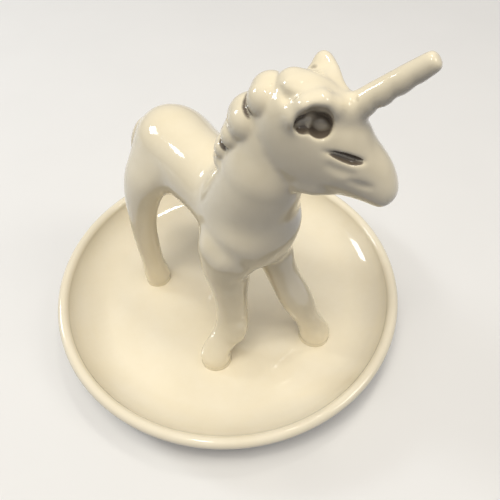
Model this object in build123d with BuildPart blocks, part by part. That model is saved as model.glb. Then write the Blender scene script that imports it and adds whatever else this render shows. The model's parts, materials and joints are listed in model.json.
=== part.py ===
"""Glazed ceramic unicorn standing in a round trinket dish: a set of cast pieces joined by slip seams.

Frame: millimetres, +Z up, origin at the centre of the dish's foot ring on the surface that it stands on.
The unicorn faces -Y, so its left side is +X.
"""
from build123d import *
import math
import os

os.makedirs("parts", exist_ok=True)

# Dish
DISH_DIAMETER = 110.0
DISH_HEIGHT = 14.0
FLOOR_HEIGHT = 4.5
FLOOR_DIAMETER = 80.0
LIP_THICKNESS = 3.4
FOOT_DIAMETER = 68.0
FOOT_WIDTH = 3.5
FOOT_RECESS = 1.2

# Place of the figure in the dish
FIGURE_SIDE = -2.75
FIGURE_BACK = 2.25

# Torso
AXIS_HEIGHT = 53.0
TORSO_LENGTH = 56.5
TORSO_WIDTH = 23.0
TORSO_DEPTH = 24.0
CLAY_WALL = 3.0
VENT_DIAMETER = 3.0

# Neck
NECK_RISE = 41.0
POLL_SETBACK = 0.5
NECK_SIDE = 5.7
NECK_WIDTH = 21.0
NECK_DEPTH = 22.0

# Head
HEAD_LENGTH = 34.0
HEAD_WIDTH = 15.4
HEAD_DEPTH = 22.0
HEAD_TURN = 36.4
HEAD_NOD = 45.0

# Horn
HORN_LENGTH = 15.8
HORN_DIAMETER = 5.3
HORN_TIP_DIAMETER = 3.7

# Ears
EAR_LENGTH = 9.0
EAR_WIDTH = 8.0
EAR_THICKNESS = 4.4
EAR_WALL = 1.3

# Forelegs
SHOULDER_SPREAD = 7.0
SHOULDER_SETBACK = 11.05
FORE_STANCE = 14.8
RIGHT_FORE_STEP = 2.4
LEFT_FORE_STEP = 14.6
FORELEG_WIDTH = 11.0
FORELEG_DEPTH = 11.6

# Hind legs
HIP_SPREAD = 6.2
HIP_SETBACK = 12.85
HIND_STANCE = 13.3
HIND_STEP = 2.6
THIGH_WIDTH = 12.0
THIGH_DEPTH = 20.0

# Mane
CURL_LENGTH = 9.6
CURL_WIDTH = 9.6
CURL_THICKNESS = 4.8

# Tail
TAIL_LENGTH = 26.0
TAIL_WIDTH = 7.0
TAIL_THICKNESS = 5.0

OVERRUN = 5.0

# Sections of the torso from rump to chest: place along it, rise, width and depth
TORSO_SHARES = (
    (0.506, -0.09, 0.10, 0.12),
    (0.500, -0.09, 0.30, 0.33),
    (0.477, -0.09, 0.58, 0.64),
    (0.400, -0.06, 0.87, 0.90),
    (0.260, -0.03, 0.97, 0.96),
    (0.066, 0.00, 0.89, 0.88),
    (-0.111, -0.01, 0.87, 0.85),
    (-0.252, 0.00, 0.96, 0.95),
    (-0.358, 0.01, 1.00, 0.92),
    (-0.447, -0.03, 0.83, 0.77),
    (-0.486, -0.06, 0.56, 0.55),
    (-0.499, -0.07, 0.32, 0.33),
    (-0.505, -0.07, 0.11, 0.12),
)

# Sections of the neck from inside the torso to inside the head: rise, reach, sideways, turn, width, depth
NECK_SHARES = (
    (-0.11, 0.34, 0.00, 0.00, 0.82, 0.80),
    (0.06, 0.51, 0.02, 0.10, 1.00, 0.98),
    (0.28, 0.68, 0.06, 0.30, 0.91, 0.87),
    (0.50, 0.77, 0.28, 0.55, 0.76, 0.81),
    (0.70, 0.83, 0.60, 0.80, 0.66, 0.74),
    (0.86, 0.90, 0.84, 1.00, 0.58, 0.61),
)

# Sections of the head from poll to muzzle: place along it, top, bottom, width
HEAD_SHARES = (
    (-0.075, -0.12, -0.42, 0.34),
    (-0.050, -0.06, -0.52, 0.56),
    (0.000, 0.01, -0.66, 0.75),
    (0.147, 0.095, -0.86, 0.94),
    (0.294, 0.12, -0.94, 1.00),
    (0.441, 0.09, -0.86, 0.96),
    (0.588, 0.055, -0.62, 0.79),
    (0.735, 0.02, -0.44, 0.64),
    (0.820, -0.03, -0.36, 0.56),
    (0.872, -0.08, -0.325, 0.42),
    (0.895, -0.15, -0.26, 0.20),
)

# Horn: its place along the head and the height of its root over the head's line
HORN_PLACE_SHARE = 0.27
HORN_ROOT_SHARE = 0.12

# Ear: its root along, beside and above the head's line, its heading, then sections: place, width, thickness
EAR_ALONG_SHARE = 0.175
EAR_BESIDE_SHARE = 0.27
EAR_RISE_SHARE = -0.06
EAR_HEADING_SHARES = (-0.48, 0.86, -0.18)
EAR_FACING_SHARES = (0.70, 0.50, 0.52)
EAR_SHARES = (
    (-0.35, 0.70, 0.70),
    (0.00, 0.92, 0.86),
    (0.36, 1.00, 1.00),
    (0.60, 0.95, 0.92),
    (0.82, 0.66, 0.70),
    (0.96, 0.32, 0.40),
    (1.00, 0.12, 0.16),
)

# Legs from root to hoof: height, way out to the stance, way along to the stance, width, depth
RIGHT_FORELEG_SHARES = (
    (1.04, -0.20, -0.60, 0.74, 0.90),
    (0.86, 0.14, 0.00, 1.10, 1.12),
    (0.70, 0.15, 0.50, 1.06, 1.02),
    (0.48, 0.13, 0.80, 0.83, 0.82),
    (0.29, 0.20, 0.95, 0.81, 0.78),
    (0.15, 0.60, 1.00, 0.82, 0.78),
    (0.06, 0.97, 1.00, 0.88, 0.83),
    (0.00, 1.00, 1.00, 0.78, 0.74),
)
LEFT_FORELEG_SHARES = (
    (1.02, -0.36, 0.00, 0.74, 0.90),
    (0.86, -0.30, 0.16, 0.90, 1.06),
    (0.72, -0.24, 0.30, 0.90, 0.98),
    (0.50, 0.08, 0.57, 0.88, 0.84),
    (0.29, 0.48, 0.79, 0.82, 0.78),
    (0.11, 0.88, 0.96, 0.82, 0.78),
    (0.05, 0.98, 1.00, 0.90, 0.85),
    (0.00, 1.00, 1.00, 0.80, 0.76),
)
HIND_LEG_SHARES = (
    (1.07, -0.20, -0.20, 0.72, 0.80),
    (0.98, 0.08, 0.15, 0.98, 1.00),
    (0.86, 0.49, 0.83, 0.98, 0.85),
    (0.69, 0.87, 1.29, 0.78, 0.60),
    (0.54, 1.07, 1.14, 0.65, 0.46),
    (0.29, 1.10, 1.02, 0.60, 0.38),
    (0.10, 1.03, 1.00, 0.69, 0.42),
    (0.04, 1.00, 1.00, 0.72, 0.43),
    (0.00, 1.00, 1.00, 0.62, 0.37),
)

# Crest of the neck: its end on the torso and its two points on the head, as left, along and rise
WITHERS_SHARES = (0.14, -0.22, 0.45)
POLL_SHARES = ((0.06, -0.117, -0.403), (0.00, 0.08, 0.05))
# Curls from the top down: place on the crest, sink below it, size
CURL_PLACE_SHARES = (
    (0.88, 0.16, 0.94),
    (0.71, 0.09, 0.98),
    (0.57, -0.04, 0.88),
    (0.45, -0.05, 0.82),
    (0.33, -0.04, 0.76),
    (0.20, -0.03, 0.70),
)
# One curl across the crest: to the left, outwards, up the neck, width, thickness
CURL_SHARES = (
    (0.36, -0.16, 0.00, 0.42, 0.45),
    (0.20, -0.04, 0.00, 0.80, 0.80),
    (0.00, 0.00, 0.00, 1.00, 1.00),
    (-0.22, -0.04, -0.01, 1.00, 1.00),
    (-0.42, -0.16, -0.02, 0.90, 0.92),
    (-0.56, -0.30, 0.03, 0.62, 0.66),
    (-0.60, -0.40, 0.10, 0.28, 0.34),
)

# Tail: its root on the torso as along and rise, then from root to tip: left, back, down, width, thickness
TAIL_ROOT_SHARES = (0.49, 0.10)
TAIL_SHARES = (
    (0.00, -0.16, 0.00, 0.60, 0.80),
    (-0.01, 0.00, 0.03, 0.80, 0.90),
    (-0.07, 0.09, 0.13, 0.95, 1.00),
    (-0.14, 0.12, 0.32, 1.00, 1.00),
    (-0.17, 0.09, 0.58, 0.88, 0.90),
    (-0.14, 0.07, 0.82, 0.58, 0.66),
    (-0.08, 0.10, 0.98, 0.20, 0.30),
)


def figure_point(side, along, height):
    """A point given from the figure's midline, the torso's middle and the dish's floor."""
    return Vector(FIGURE_SIDE + side, FIGURE_BACK + along, FLOOR_HEIGHT + height)


def oval(half_width, half_depth, rise=0.0):
    """One closed smooth outline with its start on the +X side, so that the sections of a loft line up."""
    eighths = [math.radians(45 * step) for step in range(8)]
    points = [(half_width * math.cos(turn), rise + half_depth * math.sin(turn)) for turn in eighths]
    return Edge.make_spline(points, periodic=True)


def tube_planes(points, side_vectors):
    """Section planes along a path of points, each square to the path with its X axis to the side."""
    planes = []
    for index, point in enumerate(points):
        before = points[max(index - 1, 0)]
        after = points[min(index + 1, len(points) - 1)]
        planes.append(Plane(origin=point, x_dir=side_vectors[index], z_dir=after - before))
    return planes


# Dish: one thrown profile turned about Z
with BuildPart() as dish:
    with BuildSketch(Plane.XZ):
        with BuildLine():
            rim = DISH_DIAMETER / 2
            rim_in = rim - LIP_THICKNESS
            foot = FOOT_DIAMETER / 2
            lip_low = DISH_HEIGHT - LIP_THICKNESS / 2
            base = (0, FOOT_RECESS)
            foot_in = (foot - FOOT_WIDTH, FOOT_RECESS)
            foot_low_in = (foot - FOOT_WIDTH, 0)
            foot_low = (foot, 0)
            foot_top = (foot, FOOT_RECESS)
            Polyline(base, foot_in, foot_low_in, foot_low, foot_top)
            Spline(foot_top, (rim, lip_low), tangents=((1, 0), (0.25, 1)))
            ThreePointArc((rim, lip_low), ((rim + rim_in) / 2, DISH_HEIGHT), (rim_in, lip_low))
            Spline(
                (rim_in, lip_low),
                (FLOOR_DIAMETER / 2, FLOOR_HEIGHT),
                tangents=((-0.25, -1), (-1, 0)),
            )
            Polyline((FLOOR_DIAMETER / 2, FLOOR_HEIGHT), (0, FLOOR_HEIGHT), base)
        make_face()
    revolve(axis=Axis.Z)
dish.part.label = "dish"
export_step(dish.part, "parts/dish.step")


with BuildPart() as torso_form:
    for along, rise, width, depth in TORSO_SHARES:
        middle = figure_point(0, along * TORSO_LENGTH, AXIS_HEIGHT + rise * TORSO_DEPTH)
        with BuildSketch(Plane(origin=middle, x_dir=(1, 0, 0), z_dir=(0, -1, 0))):
            make_face(oval(width * TORSO_WIDTH / 2, depth * TORSO_DEPTH / 2))
    loft()

face_line = Vector(0, -1, 0).rotate(Axis.X, HEAD_NOD).rotate(Axis.Z, HEAD_TURN)
head_left = Vector(1, 0, 0).rotate(Axis.Z, HEAD_TURN)
neck_reach = TORSO_LENGTH / 2 - POLL_SETBACK
poll = figure_point(NECK_SIDE, -neck_reach, AXIS_HEIGHT + NECK_RISE)
head_plane = Plane(origin=poll, x_dir=head_left, z_dir=face_line)
head_up = head_plane.y_dir

with BuildPart() as head_form:
    for along, top, bottom, width in HEAD_SHARES:
        with BuildSketch(head_plane.offset(along * HEAD_LENGTH)):
            middle = (top + bottom) / 2 * HEAD_DEPTH
            make_face(oval(width * HEAD_WIDTH / 2, (top - bottom) / 2 * HEAD_DEPTH, middle))
    loft()

neck_points = []
neck_sides = []
for rise, reach, sideways, turn, width, depth in NECK_SHARES:
    neck_points.append(
        figure_point(sideways * NECK_SIDE, -reach * neck_reach, AXIS_HEIGHT + rise * NECK_RISE)
    )
    neck_sides.append(Vector(1, 0, 0).rotate(Axis.Z, turn * HEAD_TURN))
neck_planes = tube_planes(neck_points, neck_sides)

with BuildPart() as neck_form:
    for plane, shares in zip(neck_planes, NECK_SHARES):
        with BuildSketch(plane):
            make_face(oval(shares[4] * NECK_WIDTH / 2, shares[5] * NECK_DEPTH / 2))
    loft()

with BuildPart() as neck_bore:
    for plane, shares in zip(neck_planes, NECK_SHARES):
        with BuildSketch(plane):
            make_face(oval(shares[4] * NECK_WIDTH / 2 - CLAY_WALL, shares[5] * NECK_DEPTH / 2 - CLAY_WALL))
    loft()

with BuildPart() as torso:
    add(torso_form.part)
    for along, rise, width, depth in TORSO_SHARES[3:-3]:
        middle = figure_point(0, along * TORSO_LENGTH, AXIS_HEIGHT + rise * TORSO_DEPTH)
        with BuildSketch(Plane(origin=middle, x_dir=(1, 0, 0), z_dir=(0, -1, 0))):
            make_face(oval(width * TORSO_WIDTH / 2 - CLAY_WALL, depth * TORSO_DEPTH / 2 - CLAY_WALL))
    loft(mode=Mode.SUBTRACT)
    add(neck_bore.part, mode=Mode.SUBTRACT)
    with BuildSketch(Plane(origin=figure_point(0, 0, AXIS_HEIGHT), z_dir=(0, 0, -1))):
        Circle(VENT_DIAMETER / 2)
    extrude(amount=TORSO_DEPTH, mode=Mode.SUBTRACT)
torso.part.label = "torso"
export_step(torso.part, "parts/torso.step")

with BuildPart() as neck:
    add(neck_form.part)
    add(torso_form.part, mode=Mode.SUBTRACT)
    add(head_form.part, mode=Mode.SUBTRACT)
    add(neck_bore.part, mode=Mode.SUBTRACT)
neck.part.label = "neck"
export_step(neck.part, "parts/neck.step")

with BuildPart() as head:
    add(head_form.part)
    for along, top, bottom, width in HEAD_SHARES[3:8]:
        with BuildSketch(head_plane.offset(along * HEAD_LENGTH)):
            middle = (top + bottom) / 2 * HEAD_DEPTH
            make_face(
                oval(width * HEAD_WIDTH / 2 - CLAY_WALL, (top - bottom) / 2 * HEAD_DEPTH - CLAY_WALL, middle)
            )
    loft(mode=Mode.SUBTRACT)
    add(neck_bore.part, mode=Mode.SUBTRACT)
head.part.label = "head"
export_step(head.part, "parts/head.step")

# Horn: a blunt tapered rod, square to the face
horn_root = head_plane.from_local_coords((0, HORN_ROOT_SHARE * HEAD_DEPTH, HORN_PLACE_SHARE * HEAD_LENGTH))
with BuildPart() as horn:
    with BuildSketch(Plane(origin=horn_root, x_dir=head_left, z_dir=head_left.cross(head_up))):
        with BuildLine():
            tip = HORN_TIP_DIAMETER / 2
            tip_low = HORN_LENGTH - tip
            Polyline((0, -OVERRUN), (HORN_DIAMETER / 2, -OVERRUN), (HORN_DIAMETER / 2, 0), (tip, tip_low))
            RadiusArc((tip, tip_low), (0, HORN_LENGTH), -tip)
            Line((0, HORN_LENGTH), (0, -OVERRUN))
        make_face()
    revolve(axis=Axis(horn_root, head_up))
    add(head_form.part, mode=Mode.SUBTRACT)
horn.part.label = "horn"
export_step(horn.part, "parts/horn.step")

# Ears: cupped leaves, mirrored about the head's middle plane
for name, side in (("right_ear", -1), ("left_ear", 1)):
    along, beside, rise = EAR_HEADING_SHARES
    heading = face_line * along + head_left * (side * beside) + head_up * rise
    along, beside, rise = EAR_FACING_SHARES
    facing = face_line * along + head_left * (side * beside) + head_up * rise
    ear_root = head_plane.from_local_coords(
        (side * EAR_BESIDE_SHARE * HEAD_WIDTH, EAR_RISE_SHARE * HEAD_DEPTH, EAR_ALONG_SHARE * HEAD_LENGTH)
    )
    ear_plane = Plane(origin=ear_root, x_dir=facing.cross(heading), z_dir=heading)
    with BuildPart() as ear:
        for along, width, thickness in EAR_SHARES:
            with BuildSketch(ear_plane.offset(along * EAR_LENGTH)):
                make_face(oval(width * EAR_WIDTH / 2, thickness * EAR_THICKNESS / 2))
        loft()
        for along, width, thickness in EAR_SHARES[2:5]:
            with BuildSketch(ear_plane.offset(along * EAR_LENGTH)):
                make_face(oval(width * EAR_WIDTH / 2 - EAR_WALL, thickness * EAR_THICKNESS / 2, EAR_WALL))
        loft(mode=Mode.SUBTRACT)
        add(head_form.part, mode=Mode.SUBTRACT)
    ear.part.label = name
    export_step(ear.part, f"parts/{name}.step")

# Legs: root in the torso, hoof flat on the dish's floor
shoulder_along = SHOULDER_SETBACK - TORSO_LENGTH / 2
hip_along = TORSO_LENGTH / 2 - HIP_SETBACK
legs = (
    ("right_foreleg", -1, SHOULDER_SPREAD, shoulder_along, FORE_STANCE, -RIGHT_FORE_STEP,
     FORELEG_WIDTH, FORELEG_DEPTH, RIGHT_FORELEG_SHARES),
    ("left_foreleg", 1, SHOULDER_SPREAD, shoulder_along, FORE_STANCE, -LEFT_FORE_STEP,
     FORELEG_WIDTH, FORELEG_DEPTH, LEFT_FORELEG_SHARES),
    ("right_hind_leg", -1, HIP_SPREAD, hip_along, HIND_STANCE, HIND_STEP,
     THIGH_WIDTH, THIGH_DEPTH, HIND_LEG_SHARES),
    ("left_hind_leg", 1, HIP_SPREAD, hip_along, HIND_STANCE, HIND_STEP,
     THIGH_WIDTH, THIGH_DEPTH, HIND_LEG_SHARES),
)
for name, side, root_spread, root_along, hoof_spread, hoof_step, leg_width, leg_depth, table in legs:
    with BuildPart() as leg:
        for height, out, step, width, depth in table:
            middle = figure_point(
                side * (root_spread + out * (hoof_spread - root_spread)),
                root_along + step * hoof_step,
                height * AXIS_HEIGHT,
            )
            with BuildSketch(Plane(origin=middle)):
                make_face(oval(width * leg_width / 2, depth * leg_depth / 2))
        loft()
        add(torso_form.part, mode=Mode.SUBTRACT)
    leg.part.label = name
    export_step(leg.part, f"parts/{name}.step")

# Mane: rolled curls across the crest, each lapping over the one below it
left, along, rise = WITHERS_SHARES
withers = figure_point(left * TORSO_WIDTH, along * TORSO_LENGTH, AXIS_HEIGHT + rise * TORSO_DEPTH)
crest_points = [withers]
for plane, shares in zip(neck_planes[2:-1], NECK_SHARES[2:-1]):
    crest_points.append(plane.origin + plane.y_dir * (shares[5] * NECK_DEPTH / 2))
for left, along, rise in POLL_SHARES:
    crest_points.append(
        head_plane.from_local_coords((left * HEAD_WIDTH, rise * HEAD_DEPTH, along * HEAD_LENGTH))
    )
crest = Edge.make_spline(crest_points)
curls = []
for number, (place, sink, size) in enumerate(CURL_PLACE_SHARES, start=1):
    up_neck = crest.tangent_at(place)
    to_left = Vector(1, 0, 0).rotate(Axis.Z, place * HEAD_TURN)
    outwards = up_neck.cross(to_left).normalized()
    reach = size * CURL_LENGTH
    curl_points = [
        crest.position_at(place)
        + to_left * (left * reach)
        + outwards * ((out - sink) * reach)
        + up_neck * (up * reach)
        for left, out, up, width, thickness in CURL_SHARES
    ]
    curl_planes = tube_planes(curl_points, [up_neck] * len(curl_points))
    with BuildPart() as curl:
        for plane, shares in zip(curl_planes, CURL_SHARES):
            with BuildSketch(plane):
                make_face(oval(shares[3] * size * CURL_WIDTH / 2, shares[4] * size * CURL_THICKNESS / 2))
        loft()
        for carrier in [torso_form.part, neck_form.part, head_form.part] + curls:
            add(carrier, mode=Mode.SUBTRACT)
    curl.part.label = f"mane_curl_{number}"
    export_step(curl.part, f"parts/mane_curl_{number}.step")
    curls.append(curl.part)

# Tail: a short lock hanging from the rump
along, rise = TAIL_ROOT_SHARES
tail_root = figure_point(0, along * TORSO_LENGTH, AXIS_HEIGHT + rise * TORSO_DEPTH)
tail_points = [
    tail_root + Vector(left * TAIL_LENGTH, back * TAIL_LENGTH, -down * TAIL_LENGTH)
    for left, back, down, width, thickness in TAIL_SHARES
]
tail_planes = tube_planes(tail_points, [Vector(1, 0, 0)] * len(tail_points))
with BuildPart() as tail:
    for plane, shares in zip(tail_planes, TAIL_SHARES):
        with BuildSketch(plane):
            make_face(oval(shares[3] * TAIL_WIDTH / 2, shares[4] * TAIL_THICKNESS / 2))
    loft()
    add(torso_form.part, mode=Mode.SUBTRACT)
tail.part.label = "tail"
export_step(tail.part, "parts/tail.step")
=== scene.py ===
# %% [markdown]
# # A glazed unicorn standing in a trinket dish
# The object is a small ceramic unicorn that stands in a round dish of the same cream glaze. The packed CAD
# model gives every clay piece its place and size. This lesson gives the pieces their looks: one soft skin
# of glaze that runs over all the slip seams of the figure, a dish turned on a wheel, and the finish itself.
# First the frame is loaded.

# %% Load the frame
import json
import math

import bmesh
import bpy
import numpy as np
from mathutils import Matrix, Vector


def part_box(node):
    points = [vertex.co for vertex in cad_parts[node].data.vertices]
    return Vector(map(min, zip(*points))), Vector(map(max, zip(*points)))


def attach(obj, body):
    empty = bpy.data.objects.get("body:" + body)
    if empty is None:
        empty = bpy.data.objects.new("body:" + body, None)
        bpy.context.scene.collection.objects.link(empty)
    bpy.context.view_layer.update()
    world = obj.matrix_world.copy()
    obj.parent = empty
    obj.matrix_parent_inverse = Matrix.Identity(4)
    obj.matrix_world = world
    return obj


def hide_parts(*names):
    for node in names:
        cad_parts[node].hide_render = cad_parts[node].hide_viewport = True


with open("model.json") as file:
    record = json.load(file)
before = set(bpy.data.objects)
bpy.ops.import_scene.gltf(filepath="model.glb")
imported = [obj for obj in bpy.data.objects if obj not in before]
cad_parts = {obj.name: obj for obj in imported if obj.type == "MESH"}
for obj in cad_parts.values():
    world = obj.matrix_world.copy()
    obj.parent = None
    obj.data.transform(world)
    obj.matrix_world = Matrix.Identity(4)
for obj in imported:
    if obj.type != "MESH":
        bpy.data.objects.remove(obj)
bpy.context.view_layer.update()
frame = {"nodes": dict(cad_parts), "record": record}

import openvdb
from mathutils import Matrix, Vector

MM = 0.001
nodes = frame["nodes"]
mounts = {mount["name"]: mount for mount in frame["record"]["mounts"]}
figure_nodes = [name for name in nodes if name != "dish"]
print("frame:", len(nodes), "clay pieces,", len(figure_nodes), "of them in the figure")

# %% [markdown]
# ## The head's own directions
# Eyes, ears and horn are easier to place in the head's own directions than in the room's. The record states
# where the horn grows and which way it points, and the head is level from side to side, so these two facts
# give all three directions: along the face to the muzzle, to the unicorn's left, and up out of the
# forehead.

# %% Head directions
horn_root = np.array(mounts["horn_post"]["pos_m"]) / MM
HEAD_UP = np.array(mounts["horn_post"]["axis"])
HEAD_LEFT = np.array([-HEAD_UP[1], HEAD_UP[0], 0]) / math.hypot(HEAD_UP[0], HEAD_UP[1])
HEAD_ALONG = np.cross(HEAD_LEFT, HEAD_UP)
HORN_ALONG = 9.18
HORN_RISE = 2.64
poll = horn_root - HEAD_ALONG * HORN_ALONG - HEAD_UP * HORN_RISE


def head_point(along, left, up):
    """A place on the head: millimetres along the face from the poll, to its left, and up from the face."""
    return poll + HEAD_ALONG * along + HEAD_LEFT * left + HEAD_UP * up


print("poll at", poll.round(2), "horn root at", horn_root.round(2))

# %% [markdown]
# ## Clay as a field of distances
# A cast figure has no sharp joints: slip is wiped into every seam, and the glaze rounds what is left.
# Booleans and bevels give hard creases, and a subdivision cage would have to be drawn by hand. A field of
# distances suits this better: every point of a fine grid holds its distance to the clay, below zero inside
# it. Two such fields melt into one another with a soft minimum, and its softness is the width of the seam's
# fillet.

# %% Grid of the figure
VOXEL = 0.4
BAND_VOXELS = 15
GRID_MARGIN = 3.0
FAR = BAND_VOXELS * VOXEL

corner_pairs = np.array([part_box(name) for name in figure_nodes]) / MM
grid_first = np.floor((corner_pairs[:, 0].min(axis=0) - GRID_MARGIN) / VOXEL).astype(int)
grid_last = np.ceil((corner_pairs[:, 1].max(axis=0) + GRID_MARGIN) / VOXEL).astype(int)
skin = np.full(grid_last - grid_first + 1, FAR, dtype=np.float32)
nearest = np.full(skin.shape, FAR, dtype=np.float32)
owner = np.zeros(skin.shape, dtype=np.uint8)
scale_of_grid = openvdb.createLinearTransform(voxelSize=VOXEL)
print("grid of", skin.shape, "points,", VOXEL, "mm apart")


# %% Distances to a clay piece
def window(low, high):
    """The part of the grid between two corners in millimetres, as slices."""
    first = np.maximum(np.floor(np.array(low) / VOXEL).astype(int) - grid_first, 0)
    last = np.minimum(np.ceil(np.array(high) / VOXEL).astype(int) - grid_first + 1, skin.shape)
    return tuple(slice(a, b) for a, b in zip(first, last))


def places(part):
    """The x, y and z of the grid points in a window, in millimetres."""
    axes = [(np.arange(s.start, s.stop) + g) * VOXEL for s, g in zip(part, grid_first)]
    return np.meshgrid(*axes, indexing="ij", sparse=True)


def soup(name):
    """Corners in millimetres and triangles of a CAD node."""
    mesh = nodes[name].data
    mesh.calc_loop_triangles()
    corners = np.empty(len(mesh.vertices) * 3, dtype=np.float32)
    mesh.vertices.foreach_get("co", corners)
    triangles = np.empty(len(mesh.loop_triangles) * 3, dtype=np.int32)
    mesh.loop_triangles.foreach_get("vertices", triangles)
    return corners.reshape(-1, 3) / MM, triangles.reshape(-1, 3).astype(np.uint32)


def distances(corners, triangles, part):
    """Signed distance to a closed shape at the grid points of a window."""
    grid = openvdb.FloatGrid.createLevelSetFromPolygons(
        corners.astype(np.float32), triangles=triangles, transform=scale_of_grid, halfWidth=BAND_VOXELS
    )
    field = np.empty([s.stop - s.start for s in part], dtype=np.float32)
    grid.copyToArray(field, ijk=tuple(int(s.start + g) for s, g in zip(part, grid_first)))
    return field


def melt(a, b, softness):
    """Soft minimum of two fields: their union, with a fillet about as wide as softness."""
    overlap = np.maximum(softness - np.abs(a - b), 0) / softness
    return np.minimum(a, b) - overlap * overlap * softness / 4


print("two equal fields melted with a softness of 1 gain", -melt(0.0, 0.0, 1.0), "mm of clay")

# %% [markdown]
# ## Reading the clay pieces
# Each clay piece is turned into a field in a window of the grid around it. Every grid point also remembers
# which piece it is nearest to, because the finished skin is cut up again along the seams. The curls of the
# mane and the ears are left out here, as they are modelled later.

# %% Read the pieces
SMOOTH_KINDS = {"torso": 0.6, "neck": 0.6, "foreleg": 3.0, "hind_leg": 2.0}
SET_ON_SOFTNESS = {"head": 0.8, "horn": 2.2, "tail": 1.6}
KINDS = (*SMOOTH_KINDS, *SET_ON_SOFTNESS)


def kind_of(name):
    """The kind of clay piece in a node's name, or None for an ear or a curl of the mane."""
    return next((kind for kind in KINDS if kind in name), None)


def claim(part, clay, number):
    """Marks the grid points of a window that are nearer to this clay than to any before."""
    closer = clay < nearest[part]
    nearest[part] = np.where(closer, clay, nearest[part])
    owner[part] = np.where(closer, number, owner[part])


cast = sorted((name for name in figure_nodes if kind_of(name)), key=lambda name: KINDS.index(kind_of(name)))
modelled = sorted(name for name in figure_nodes if not kind_of(name))
curls = [name for name in modelled if "curl" in name]
order = cast + modelled
fields = {}
for number, name in enumerate(cast):
    low, high = np.array(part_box(name)) / MM
    part = window(low - FAR, high + FAR)
    fields[name] = part, distances(*soup(name), part)
    claim(*fields[name], number)
print("read:", ", ".join(cast))

# %% [markdown]
# ## Closing the casting hollow
# The barrel, neck and head are cast hollow, with a vent in the belly. The skin is only the outside, so the
# hollow is filled: the three pieces and a plug over the vent are made into one field, in which whatever
# can't be reached from outside counts as inside.

# %% Find the hollow
VENT_RISE = 4.2
PLUG_WIDTH = 4.6
PLUG_HEIGHT = 1.6
HOLLOW_SKIN = 0.6
HOLLOW_GROWTH = 2

torso_low, torso_high = np.array(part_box("torso")) / MM
vent = (torso_low[:2] + torso_high[:2]) / 2
vent_top = float(torso_low[2]) + VENT_RISE


def plug_block(centre):
    """Corners and triangles of a small block that closes the vent."""
    block = bmesh.new()
    size = Matrix.Diagonal((PLUG_WIDTH, PLUG_WIDTH, PLUG_HEIGHT, 1))
    bmesh.ops.create_cube(block, size=1, matrix=Matrix.Translation(centre) @ size)
    bmesh.ops.triangulate(block, faces=block.faces)
    corners = np.array([v.co[:] for v in block.verts], dtype=np.float32)
    triangles = np.array([[v.index for v in f.verts] for f in block.faces], dtype=np.uint32)
    block.free()
    return corners, triangles


def join_soups(soups):
    """Several corner and triangle lists as one."""
    starts = np.cumsum([0] + [len(corners) for corners, _ in soups[:-1]])
    corners = np.concatenate([corners for corners, _ in soups])
    return corners, np.concatenate([t + np.uint32(s) for (_, t), s in zip(soups, starts)])


everything = tuple(slice(0, n) for n in skin.shape)
core_parts = [soup(name) for name in ("torso", "neck", "head")]
core_parts.append(plug_block((*vent, vent_top)))
enclosed = distances(*join_soups(core_parts), everything) < 0
hollow = enclosed & (nearest > HOLLOW_SKIN)
for _ in range(HOLLOW_GROWTH):
    for axis in range(3):
        hollow = hollow | np.roll(hollow, 1, axis) | np.roll(hollow, -1, axis)
    hollow = hollow & enclosed
print("hollow of", round(hollow.sum() * VOXEL ** 3 / 1000, 1), "cubic centimetres")

# %% [markdown]
# ## Wiping the seams smooth
# Neck and legs run out of the barrel in wide sweeps. Soft minimums would leave a swelling along such flush
# seams, so they are joined hard, measured again from their common surface and then blurred. The blurred
# field is used only close to a seam, where the two nearest pieces are about equally far away. Head, horn
# and tail are set on, each with a fillet of its own.

# %% Join the pieces
NEAR = 1.6
WIPE_STEPS = (1, 2, 3, 4)
WIPE_WIDTH = 7.0


def surface_of(field):
    """The surface where a field of the whole grid is zero: corners in millimetres and four-sided faces."""
    grid = openvdb.FloatGrid(FAR)
    grid.transform = scale_of_grid
    grid.gridClass = openvdb.GridClass.LEVEL_SET
    grid.copyFromArray(np.ascontiguousarray(field), ijk=tuple(int(i) for i in grid_first))
    return grid.convertToQuads(isovalue=0.0)


def measured_again(field):
    """True distances to the surface on which a field is zero."""
    corners, quads = surface_of(field)
    grid = openvdb.FloatGrid.createLevelSetFromPolygons(
        corners, quads=quads, transform=scale_of_grid, halfWidth=BAND_VOXELS
    )
    grid.copyToArray(field, ijk=tuple(int(i) for i in grid_first))
    return field


def blur(field, stride=1):
    """One pass of a soft blur along each axis, over neighbours that are stride grid points away."""
    for axis in range(3):
        ends = [(stride, stride) if i == axis else (0, 0) for i in range(3)]
        padded = np.pad(field, ends, mode="edge")
        size = field.shape[axis]
        low, mid, high = (np.take(padded, range(s, s + size), axis=axis) for s in (0, stride, 2 * stride))
        field = (low + 2 * mid + high) / 4
    return field


first = np.full(skin.shape, FAR, dtype=np.float32)
second = first.copy()
for name in cast:
    part, clay = fields[name]
    if kind_of(name) in SMOOTH_KINDS:
        skin[part] = melt(skin[part], clay, SMOOTH_KINDS[kind_of(name)])
        second[part] = np.minimum(second[part], np.maximum(first[part], clay))
        first[part] = np.minimum(first[part], clay)
skin[hollow] = -FAR
skin = measured_again(skin)
wiped = skin
for stride in WIPE_STEPS:
    wiped = blur(wiped, stride)
near_seam = np.clip(1 - (second - first) / WIPE_WIDTH, 0, 1)
near_seam = near_seam ** 2 * (3 - 2 * near_seam)
skin = skin + (wiped - skin) * near_seam
for name in cast:
    part, clay = fields[name]
    if kind_of(name) in SET_ON_SOFTNESS:
        skin[part] = melt(skin[part], clay, SET_ON_SOFTNESS[kind_of(name)])
skin[hollow] = np.minimum(skin[hollow], -NEAR)
print("joined", len(cast), "pieces,", int((near_seam > 0.5).sum()), "grid points wiped")

# %% [markdown]
# ## The vent
# The skin has closed the vent in the belly, so it is pressed back in as a short blind hole.

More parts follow.
